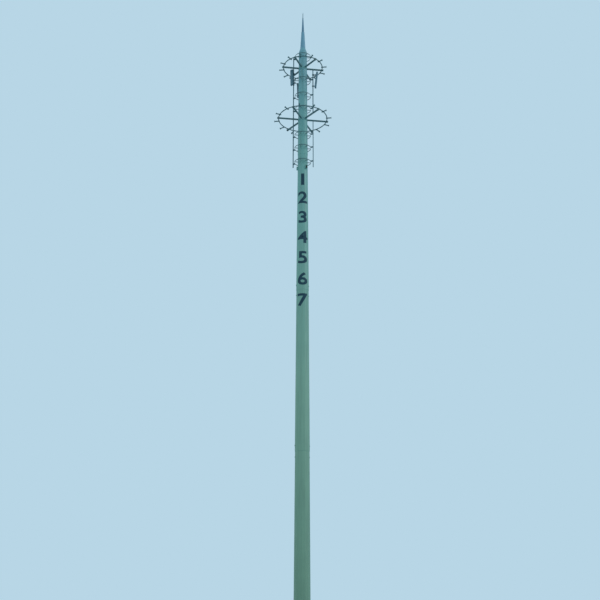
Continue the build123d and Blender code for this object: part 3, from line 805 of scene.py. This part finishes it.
@dataclass
class Foot:
    """Anchor bolts, foot welds, earth lugs and the bolted access cover."""

    shaft: Shaft
    anchor_circle: float = 0.5605
    anchor_count: int = 12
    stud_radius: float = 0.024
    stud_foot: float = 0.002
    stud_top: float = 0.175
    stud_tip: float = 0.018
    thread_depth: float = 0.0016
    thread_pitch: float = 0.005
    flange_top: float = 0.045
    washer_radius: float = 0.046
    washer_height: float = 0.008
    nut_across: float = 0.075
    nut_heights: Point = (0.038, 0.030)
    nut_turn: float = 17
    gusset_half: float = 0.010
    gusset_back: float = 0.04
    bead: float = 0.006
    lug_angles: Point = (78.75, -101.25)
    lug_height: float = 0.52
    lug_size: tuple[float, float, float] = (0.07, 0.008, 0.05)
    lug_bolt: HexHead = HexHead(0.019, 0.008, 0.012, 0.002)
    cover_angle: float = -60
    cover_height: float = 1.0
    cover_margin: float = 0.018
    cover_rows: Row = (-0.24, -0.12, 0, 0.12, 0.24)
    cover_columns: Point = (-0.07, 0.07)
    cover_bolt: HexHead = HexHead(0.017, 0.007, 0.011, 0.002, segments=18)
    grip_half: float = 0.07
    grip_reach: float = 0.045
    grip_radius: float = 0.006

    def build(self) -> None:
        """Finish the CAD nodes of the foot, and make the fasteners and welds."""
        nodes = ("base_flange", "base_gussets", "access_frame", "access_cover")
        dress(SHAFT_PAINT, *nodes)
        self.anchors()
        self.welds()
        self.earth_lugs()
        self.cover_fittings()

    def thread(self) -> list[Point]:
        """Outline of a stud, which steps in and out above the flange as a thread does."""
        radius = self.stud_radius
        profile = [(0.0, self.stud_foot), (radius, self.stud_foot)]
        height = self.flange_top + 0.004
        while height < self.stud_top - 0.008:
            groove = height + self.thread_pitch / 2
            profile += [(radius, height), (radius - self.thread_depth, groove)]
            height += self.thread_pitch
        profile += [(radius - 0.002, self.stud_top - 0.003), (self.stud_tip, self.stud_top)]
        return [*profile, (0.0, self.stud_top)]

    def anchors(self) -> None:
        """Put studs with washers and double nuts in every anchor hole."""
        piece = Workpiece("anchor_bolts")
        for index in range(self.anchor_count):
            place = polar(self.anchor_circle, index * 360 / self.anchor_count, 0)
            piece.turned(self.thread(), place, 14)
            seat = place @ shift(0, 0, self.flange_top + self.washer_height / 2)
            piece.cylinder(self.washer_radius, self.washer_height, seat, 28, edge=0.001)
            lift = self.flange_top + self.washer_height + 0.0002
            for nut in self.nut_heights:
                seat = place @ turn(self.nut_turn * index, "Z") @ shift(0, 0, lift)
                piece.hexagon(self.nut_across, nut, seat, 0.002)
                lift += nut + 0.0005
        piece.finish(FASTENER_ZINC, Slot.ROD)

    def welds(self) -> None:
        """Weld the shaft's foot and both sides of the gussets."""
        piece = Workpiece("foot_welds")
        tube = self.shaft.tubes[0]
        corner = tube.corner(self.flange_top)
        ring = [(-0.002, -0.0005), (0.012, -0.0005), (0.007, 0.005), (-0.002, 0.013)]
        profile = [(corner + x, self.flange_top + z) for x, z in ring]
        piece.turned(profile, AXIS, SHAFT_SIDES)
        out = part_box("base_gussets")[1].x - self.gusset_back
        level = self.flange_top + 0.002
        lines = [((tube.flat(0.05) + self.bead, level), (out, level))]
        lines += [tuple((tube.flat(z) + 0.002, z) for z in (0.06, 0.36))]
        for index in range(self.anchor_count):
            angle = (index + 0.5) * 360 / self.anchor_count
            for side in (-1, 1):
                beside = shift(0, side * self.gusset_half, 0)
                for line in lines:
                    ends = [polar(radius, angle, z) @ beside for radius, z in line]
                    piece.rod(*ends, self.bead)
        piece.finish(SHAFT_PAINT, Slot.SHAFT)

    def earth_lugs(self) -> None:
        """Weld on two tabs with a bolt each, for the earth straps."""
        tabs = Workpiece("earth_lugs")
        bolts = Workpiece("earth_lug_bolts")
        for angle in self.lug_angles:
            place = polar(self.shaft.tubes[0].flat(self.lug_height), angle, self.lug_height)
            tabs.block(self.lug_size, place @ shift(self.lug_size[0] / 2 - 0.001, 0, 0), 0.0015)
            seat = place @ shift(0.045, self.lug_size[1] / 2, 0) @ turn(-90, "X")
            self.lug_bolt.add(bolts, seat)
        tabs.finish(SHAFT_PAINT, Slot.SHAFT)
        bolts.finish(FASTENER_ZINC, Slot.ROD)

    def cover_fittings(self) -> None:
        """Make the bolts round the access cover and its pull handle."""
        bolts = Workpiece("access_cover_bolts")
        handle = Workpiece("access_cover_handle")
        facing = [turn(-self.cover_angle, "Z") @ corner for corner in corners("access_cover")]
        wide = max(v.y for v in facing) - self.cover_margin
        low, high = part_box("access_cover")
        tall = (high.z - low.z) / 2 - self.cover_margin
        base = polar(max(v.x for v in facing), self.cover_angle, self.cover_height)
        seats = [(side * wide, z) for side in (-1, 1) for z in self.cover_rows]
        seats += [(y, side * tall) for side in (-1, 1) for y in self.cover_columns]
        for y, z in seats:
            self.cover_bolt.add(bolts, base @ shift(0, y, z) @ turn(90, "Y"))
        half, reach = self.grip_half, self.grip_reach
        path = ((0.0, -half), (reach, -half), (reach, half), (0.0, half))
        grip = [base @ shift(x, 0, z) for x, z in path]
        for start, end in zip(grip, grip[1:]):
            handle.rod(start, end, self.grip_radius, 12)
        for bend in grip[1:3]:
            place = Matrix.Translation(bend.translation)
            bmesh.ops.create_uvsphere(
                handle.bm, u_segments=12, v_segments=8, radius=self.grip_radius, matrix=place
            )
        bolts.finish(FASTENER_ZINC, Slot.ROD)
        handle.finish(SHAFT_PAINT, Slot.SHAFT)


@dataclass
class CablePorts:
    """Rubber seals with blanked grommets in the cable ports."""

    angles: Row = (-50, 67, 187)
    neck_half: float = 0.075
    half_width: float = 0.0655
    half_length: float = 0.1105
    clipped: float = 0.0395
    recess: float = 0.055
    thickness: float = 0.012
    grommets: Row = (-0.064, 0, 0.064)
    grommet_radii: Point = (0.019, 0.015)
    grommet_height: float = 0.014
    lip_radius: float = 0.006
    lip_centre: Point = (0.021, 0.004)

    def build(self) -> None:
        """Make the seals."""
        dress(SHAFT_PAINT, "cable_ports")
        low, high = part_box("cable_ports")
        front = max(corner.xy.length for corner in corners("cable_ports"))
        floor = math.sqrt(front**2 - self.neck_half**2) - self.recess
        wide, tall = self.half_width, self.half_length
        quarter = [(tall, wide - self.clipped), (tall - self.clipped, wide)]
        half = quarter + [(-x, y) for x, y in reversed(quarter)]
        outline = half + [(-x, -y) for x, y in half]
        piece = Workpiece("cable_port_seals")
        for angle in self.angles:
            place = polar(floor, angle, (low.z + high.z) / 2)
            piece.plate(outline, self.thickness, place @ shift(0.0002, 0, 0) @ turn(90, "Y"), 0.002)
            for z in self.grommets:
                seat = place @ shift(self.thickness, 0, z) @ turn(90, "Y")
                piece.turned(circle(self.lip_radius, self.lip_centre, 8), seat, 24)
                foot, top = self.grommet_radii
                middle = seat @ shift(0, 0, self.grommet_height / 2)
                piece.cylinder(foot, self.grommet_height, middle, 24, top, 0.002)
        piece.finish(RUBBER, Slot.FITTING)


# The head of the shaft


@dataclass
class Hoops:
    """The service hoops: a rolled flat bar on six spokes, with its welds."""

    shaft: Shaft
    count: int = 7
    radius: float = 0.520
    bar: float = 0.008
    width: float = 0.050
    edge: float = 0.0012
    bead: float = 0.004
    bead_offset: float = 0.005

    def heights(self) -> list[float]:
        """Heights of the hoops' middles, read from their nodes."""
        boxes = [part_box(f"hoop_{index}") for index in range(1, self.count + 1)]
        return [(low.z + high.z) / 2 for low, high in boxes]

    def build(self) -> None:
        """Make each hoop in place of its many-sided CAD node."""
        half, edge = self.width / 2, self.edge
        inner, outer = self.radius - self.bar / 2, self.radius + self.bar / 2
        lower = [(inner, edge - half), (inner + edge, -half)]
        lower += [(outer - edge, -half), (outer, edge - half)]
        profile = lower + [(radius, -z) for radius, z in reversed(lower)]
        for index, height in enumerate(self.heights(), start=1):
            piece = Workpiece(f"service_hoop_{index}")
            piece.turned(profile, shift(0, 0, height), 96)
            start = self.shaft.tube_at(height).flat(height)
            size = (inner - start + 0.002, self.bar, self.width - 0.004)
            for angle in SPOKE_ANGLES:
                piece.block(size, polar((start + inner) / 2, angle, height), self.edge)
                for radius in (start + self.bead, inner - 0.0015):
                    for side in (-1, 1):
                        place = polar(radius, angle, height) @ shift(0, side * self.bead_offset, 0)
                        rise = shift(0, 0, half - self.bead)
                        piece.rod(place @ rise.inverted(), place @ rise, self.bead)
            made = piece.finish(RING_PAINT_AND_SHADE, Slot.RING)
            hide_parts(f"hoop_{index}")


@dataclass
class Platform:
    """One antenna platform: a smooth pipe ring in place of the CAD one, U-bolts and welds."""

    shaft: Shaft
    name: str
    radius: float
    arm: float = 0.080
    stub: float = 0.050
    seat: float = 0.0003
    collar_thickness: float = 0.012
    collar_width: float = 0.160
    sleeve_angles: Row = (38, 128, 218, 308)
    sleeve_steps: Row = (-1.2, 0, 1.2)
    sleeve_wall: float = 0.004
    arm_bolts: Point = (-0.016, 0.016)
    arm_wire: float = 0.006
    stub_wire: float = 0.005
    bolt_past: float = 0.018
    bead: float = 0.006

    def __post_init__(self) -> None:
        """Read the ring, and from it the arms' upper faces and the collar under them."""
        low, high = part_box(f"{self.name}_ring")
        self.height, self.pipe = (low.z + high.z) / 2, (high.z - low.z) / 2
        self.top = self.height - self.pipe - self.seat
        foot = self.top - self.collar_width
        self.collar = self.shaft.tube_at(foot).flat(foot) + self.seat + self.collar_thickness

    def build(self) -> None:
        """Make the ring and its fittings."""
        widest = self.collar / math.cos(math.pi / SHAFT_SIDES)
        # The arms carry the ring paint's painted shade; inside the hub radius the collar has the
        # shaft's colour.
        paint = replace(RING_PAINT_AND_SHADE, name=f"{self.name}_frame_paint_and_shade", hub_radius=widest)
        dress(paint, f"{self.name}_frame")
        dress(RING_PAINT_AND_SHADE, f"{self.name}_stubs")
        self.ring()
        self.clamps()
        self.welds()

    def ring(self) -> None:
        """Bend the pipe and put four sleeves over its joints."""
        piece = Workpiece(f"{self.name}_pipe_ring")
        piece.turned(circle(self.pipe, (self.radius, 0), 16), shift(0, 0, self.height), 120)
        half = self.sleeve_steps[-1] / 2
        for joint in self.sleeve_angles:
            for step in self.sleeve_steps:
                ways = (joint + step - half, joint + step + half)
                ends = [polar(self.radius, angle, self.height) for angle in ways]
                piece.rod(*ends, self.pipe + self.sleeve_wall, 18)
        made = piece.finish(RING_PAINT_AND_SHADE, Slot.RING)
        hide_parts(f"{self.name}_ring")

    def clamps(self) -> None:
        """Hold the ring down on the arms, and the stubs up to the ring, with U-bolts."""
        piece = Workpiece(f"{self.name}_u_bolts")
        upright = turn(90, "Z") @ turn(-90, "Y") @ turn(90, "X")
        on_arms = (SPOKE_ANGLES, self.arm, self.arm_bolts, self.arm_wire)
        on_stubs = (STUB_ANGLES, self.stub, (0,), self.stub_wire)
        for angles, depth, offsets, wire in (on_arms, on_stubs):
            seat = self.pipe + depth
            bolt = UBolt(self.pipe, seat + self.bolt_past, wire)
            for angle in angles:
                for offset in offsets:
                    place = polar(self.radius, angle, self.height) @ shift(0, offset, 0)
                    bolt.add(piece, place @ upright, seat + 0.0005)
        piece.finish(FASTENER_ZINC, Slot.ROD)

    def welds(self) -> None:
        """Weld the arms to the collar."""
        piece = Workpiece(f"{self.name}_welds")
        radius = self.collar + 0.002
        heights = (self.top - self.arm, self.top - 0.002)
        for angle in SPOKE_ANGLES:
            left, right = (
                [polar(radius, angle, z) @ shift(0, side * self.arm / 2, 0) for z in heights]
                for side in (-1, 1)
            )
            for ends in ((left[0], right[0]), left, right):
                piece.rod(*ends, self.bead)
        piece.finish(RING_PAINT_AND_SHADE, Slot.RING)


@dataclass
class Pipe:
    """One upright pipe, read from its CAD node."""

    node: str
    cap_wall: float = 0.0015
    saddle_half: float = 0.028

    def __post_init__(self) -> None:
        """Read its place and radius."""
        low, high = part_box(self.node)
        self.foot, self.top = low.z, high.z
        self.centre = (low + high) / 2
        self.distance = self.centre.xy.length
        self.radius = max(corner.xy.length for corner in corners(self.node)) - self.distance

    def fit(self, caps: Workpiece, bolts: Workpiece, hoops: Hoops) -> None:
        """Cap both ends, and bolt the pipe to each hoop that it passes.

        Args:
            caps: The mesh of the caps.
            bolts: The mesh of the U-bolts.
            hoops: The hoops.
        """
        rim = self.radius + self.cap_wall
        profile = [(0.0, 0.0), (rim, 0.0), (rim, 0.006), (self.radius - 0.001, 0.0095)]
        profile += [(self.radius * 0.6, 0.012), (0.0, 0.013)]
        x, y, _ = self.centre
        for place in (shift(x, y, self.top), shift(x, y, self.foot) @ turn(180, "X")):
            caps.turned(profile, place, 24)
        reach = self.distance - hoops.radius
        bolt = UBolt(self.radius, reach + 0.02)
        angle = math.degrees(math.atan2(y, x))
        for height in hoops.heights():
            if self.foot + self.saddle_half < height < self.top - self.saddle_half:
                bolt.add(bolts, polar(self.distance, angle, height), reach + hoops.bar / 2)


@dataclass
class Pipes:
    """The upright pipes' end caps, and the U-bolts that hold them to the hoops."""

    hoops: Hoops
    names: tuple[str, ...] = ("left_conduit", "right_conduit", "right_mast", "rear_mast")

    def build(self) -> None:
        """Make the caps and U-bolts."""
        dress(FITTING_ZINC, *(f"{side}_pipe_clamps" for side in ("left", "right", "rear")))
        dress(PIPE_PAINT, *self.names)
        caps = Workpiece("pipe_end_caps")
        bolts = Workpiece("pipe_u_bolts")
        for name in self.names:
            Pipe(name).fit(caps, bolts, self.hoops)
        caps.finish(RUBBER, Slot.FITTING)
        bolts.finish(FASTENER_ZINC, Slot.ROD)


@dataclass
class PanelAntenna:
    """Fasteners and end fittings of one tilting panel antenna.

    Its pipe is placed at the hinge's height, and its back is the shell's, at the hinge's
    height and turned with the antenna as it stands.
    """

    body: Body
    bore: float = 0.0318
    ear: float = 0.016
    wall: float = 0.012
    hinge_reach: float = 0.039
    panel_reach: float = 0.076
    bolt_spacing: float = 0.850
    tie_radius: float = 0.004
    tie_nut: Point = (0.013, 0.0065)
    shell_half: float = 0.100
    shell_ends: Point = (-0.100, 1.020)
    seam_place: float = 0.022
    seam_size: Point = (0.007, 0.003)
    rivet_across: float = 0.062
    rivet_rows: int = 6
    cap_screws: tuple[Point, ...] = ((0.02, -0.108), (0.07, -0.108), (0.02, 1.028), (0.07, 1.028))
    cap_half: float = 0.103
    socket_radii: Point = (0.0105, 0.0096)
    socket_across: float = 0.045
    socket_top: float = -0.139

    def __post_init__(self) -> None:
        """Read the hinge."""
        self.name = self.body.value
        joint = next(row for row in FRAME["joints"] if row["name"] == f"{self.name}_tilt")
        axis = Vector(joint["axis"])
        facing = turn(math.degrees(math.atan2(-axis.x, axis.y)), "Z")
        hinge = Matrix.Translation(joint["pos_m"]) @ facing
        self.front = self.bore / math.cos(math.pi / 6) + self.wall
        self.pipe = hinge @ shift(-self.front - self.hinge_reach, 0, 0)
        lean = turn(-joint["range_deg"][0], "Y")
        self.back = hinge @ lean @ shift(self.panel_reach - self.hinge_reach, 0, 0)

    def build(self) -> None:
        """Finish the CAD nodes and make the small parts."""
        dress(SHELL, f"{self.name}_panel", f"{self.name}_caps")
        dress(FITTING_ZINC, f"{self.name}_lugs", f"{self.name}_brackets")
        self.tie_rods()
        self.seams()
        self.heads()
        self.sockets()

    def tie_rods(self) -> None:
        """Threaded rods that draw the two jaws together on the pipe."""
        piece = Workpiece(f"{self.name}_tie_rods")
        for height, past in ((0.0, 0.016), (self.bolt_spacing, -0.004)):
            for side in (-1, 1):
                place = self.pipe @ shift(0, side * (self.bore + self.ear / 2), height)
                reach = (-self.front - 0.022, self.front + past)
                piece.rod(*(place @ shift(x, 0, 0) for x in reach), self.tie_radius, 12)
                for way in (-1, 1) if past > 0 else (-1,):
                    seat = place @ shift(way * self.front, 0, 0) @ turn(way * 90, "Y")
                    piece.hexagon(*self.tie_nut, seat, 0.0006)
        piece.finish(FASTENER_ZINC, Slot.ROD)

    def seams(self) -> None:
        """Raised seams down both sides of the shell."""
        piece = Workpiece(f"{self.name}_seams")
        foot, top = self.shell_ends
        for side in (-1, 1):
            place = self.back @ shift(self.seam_place, side * self.shell_half, (foot + top) / 2)
            piece.block((*self.seam_size, top - foot), place, 0.0006)
        piece.finish(SHELL, Slot.RADOME, self.body)

    def heads(self) -> None:
        """Rivets down the shell's back, and screws in the sides of its end caps."""
        rivets = Workpiece(f"{self.name}_rivets")
        screws = Workpiece(f"{self.name}_cap_screws")
        foot, top = self.shell_ends
        for side in (-1, 1):
            for index in range(self.rivet_rows):
                z = foot + (top - foot) * (index + 0.5) / self.rivet_rows
                seat = self.back @ shift(0, side * self.rivet_across, z) @ turn(-90, "Y")
                rivets.cylinder(0.0042, 0.002, seat, 12, 0.0026, 0.0004)
            for x, z in self.cap_screws:
                seat = self.back @ shift(x, side * self.cap_half, z) @ turn(-side * 90, "X")
                screws.cylinder(0.0045, 0.003, seat, 14, 0.0032, 0.0006)
        rivets.finish(FASTENER_ZINC, Slot.ROD, self.body)
        screws.finish(FASTENER_ZINC, Slot.ROD, self.body)

    def sockets(self) -> None:
        """Threaded collars on the sockets under the foot."""
        piece = Workpiece(f"{self.name}_sockets")
        crest, root = self.socket_radii
        profile = [(0.0, 0.0), (crest, 0.0)]
        for step in range(5):
            profile += [(crest, 0.002 + step * 0.003), (root, 0.0035 + step * 0.003)]
        profile += [(crest, 0.018), (0.008, 0.020), (0.0, 0.020)]
        for side in (-1, 1):
            seat = self.back @ shift(0.05, side * self.socket_across, self.socket_top)
            piece.turned(profile, seat @ turn(180, "X"), 18)
        piece.finish(FASTENER_ZINC, Slot.ROD, self.body)


@dataclass
class Spire:
    """Welds of the spire, and the set screws and locknut that hold the lightning rod."""

    bead: Point = (0.003, 0.005)
    socket_radius: float = 0.0375
    screw_angles: Row = (45, 165, 285)
    screw_height: float = 0.03
    locknut: Point = (0.060, 0.024)
    locknut_height: float = 0.0602

    def build(self) -> None:
        """Finish the spire and make its small parts."""
        dress(SPIRE_PAINT, "spire_lower")
        dress(TIP_PAINT, "spire_upper")
        dress(ROD_ZINC, "lightning_rod")
        welds = Workpiece("spire_welds")
        face, root = self.bead
        for node in ("top_cone", "spire_lower", "spire_upper"):
            tube = ShaftTube(node)
            ring = [(-0.004, -root), (face, -face), (face, face), (-0.004, root)]
            profile = [(tube.foot_radius + x, tube.foot + z) for x, z in ring]
            welds.turned(profile, AXIS, SHAFT_SIDES)
        welds.finish(SPIRE_PAINT, Slot.SHAFT)
        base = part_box("lightning_rod")[0].z
        screws = Workpiece("rod_socket_screws")
        for angle in self.screw_angles:
            seat = polar(self.socket_radius, angle, base + self.screw_height) @ turn(90, "Y")
            screws.hexagon(0.013, 0.008, seat, 0.0008)
        screws.hexagon(*self.locknut, shift(0, 0, base + self.locknut_height), 0.002)
        screws.finish(FASTENER_ZINC, Slot.ROD)


# The stage


@dataclass(frozen=True)
class Studio:
    """Floor, pale background, soft light and the camera."""

    background: Colour = linear(184, 214, 230)
    daylight: Colour = (0.97, 1.0, 1.0)
    floor_radius: float = 420.0
    floor_drop: float = 0.002
    floor_light: float = 1.112
    sun: float = 0.62
    sun_colour: Colour = (1.0, 0.99, 0.97)
    sun_spread: float = 25.0
    sun_aim: Colour = (-0.93, 0.25, -0.62)
    distance: float = 48.0
    eye_height: float = 1.6
    pitch: float = 19.63
    roll: float = 0.143
    sideways: float = -0.149
    focal: float = 51.3
    sight: float = 1500.0

    def build(self) -> None:
        """Set up the stage."""
        self.floor()
        self.world()
        self.lamp()
        self.camera()
        bpy.context.scene.view_settings.view_transform = "Standard"

    def floor(self) -> None:
        """Lay a wide pale floor that keeps the tower's shadow and is clear from below."""
        bm = bmesh.new()
        bmesh.ops.create_circle(bm, cap_ends=True, segments=96, radius=self.floor_radius)
        mesh = bpy.data.meshes.new("studio_floor")
        bm.to_mesh(mesh)
        bm.free()
        sheet = NodeSheet("studio_floor")
        pale = shade(self.background, 1 / self.floor_light)
        tone = sheet.patched(pale, shade(pale, 1.02), sheet.noise(0.4, 2), (0.3, 0.7, 1))
        sheet.paint(tone, sheet.noise(1.0, 2), (0.85, 0.95))
        below = sheet.add("NewGeometry").outputs["Backfacing"]
        clear = sheet.add("BsdfTransparent").outputs["BSDF"]
        opaque = sheet.nodes["Principled BSDF"].outputs["BSDF"]
        shown = sheet.add("MixShader", {0: below, 1: opaque, 2: clear})
        sheet.feed(sheet.nodes["Material Output"].inputs["Surface"], shown.outputs[0])
        mesh.materials.append(sheet.owner)
        floor = placed("studio_floor", mesh)
        floor.location = (0, 0, -self.floor_drop)

    def world(self) -> None:
        """Light evenly from all round, and show the pale background to the camera."""
        sheet = NodeSheet("studio", "worlds")
        bpy.context.scene.world = sheet.owner
        light = sheet.nodes["Background"]
        sheet.feed(light.inputs["Color"], self.daylight)
        seen = sheet.add("Background", {"Color": self.background})
        path = sheet.add("LightPath").outputs
        rays = path["Is Camera Ray"]
        for kind in ("Is Glossy Ray", "Is Transmission Ray"):
            rays = sheet.add("Math", {0: rays, 1: path[kind]}, operation="MAXIMUM").outputs[0]
        mix = sheet.add("MixShader", {0: rays, 1: light.outputs[0], 2: seen.outputs[0]})
        sheet.feed(sheet.nodes["World Output"].inputs["Surface"], mix.outputs[0])

    def lamp(self) -> None:
        """Hang a wide soft lamp on the right."""
        data = bpy.data.lights.new("soft_lamp", "SUN")
        data.energy = self.sun
        data.angle = math.radians(self.sun_spread)
        data.color = self.sun_colour
        lamp = placed("soft_lamp", data)
        lamp.rotation_euler = Vector(self.sun_aim).to_track_quat("-Z", "Y").to_euler()

    def camera(self) -> None:
        """Set the camera at eye height, pitched up at the tower."""
        data = bpy.data.cameras.new("camera")
        data.lens = self.focal
        data.sensor_width = 36.0
        data.clip_end = self.sight
        camera = placed("camera", data)
        camera.location = (self.sideways, -self.distance, self.eye_height)
        camera.rotation_euler = (turn(90 + self.pitch, "X") @ turn(self.roll, "Z")).to_euler()
        bpy.context.scene.camera = camera


def main() -> None:
    """Build every part of the scene in order."""
    shaft = Shaft()
    hoops = Hoops(shaft)
    parts = [shaft, Numerals(shaft), Foot(shaft), CablePorts(), hoops]
    parts += [Platform(shaft, "lower_platform", 1.560), Platform(shaft, "upper_platform", 1.275)]
    parts += [PanelAntenna(body) for body in (Body.LEFT, Body.RIGHT, Body.REAR)]
    for part in (*parts, Pipes(hoops), Spire(), Studio()):
        part.build()


if __name__ == "__main__":
    main()
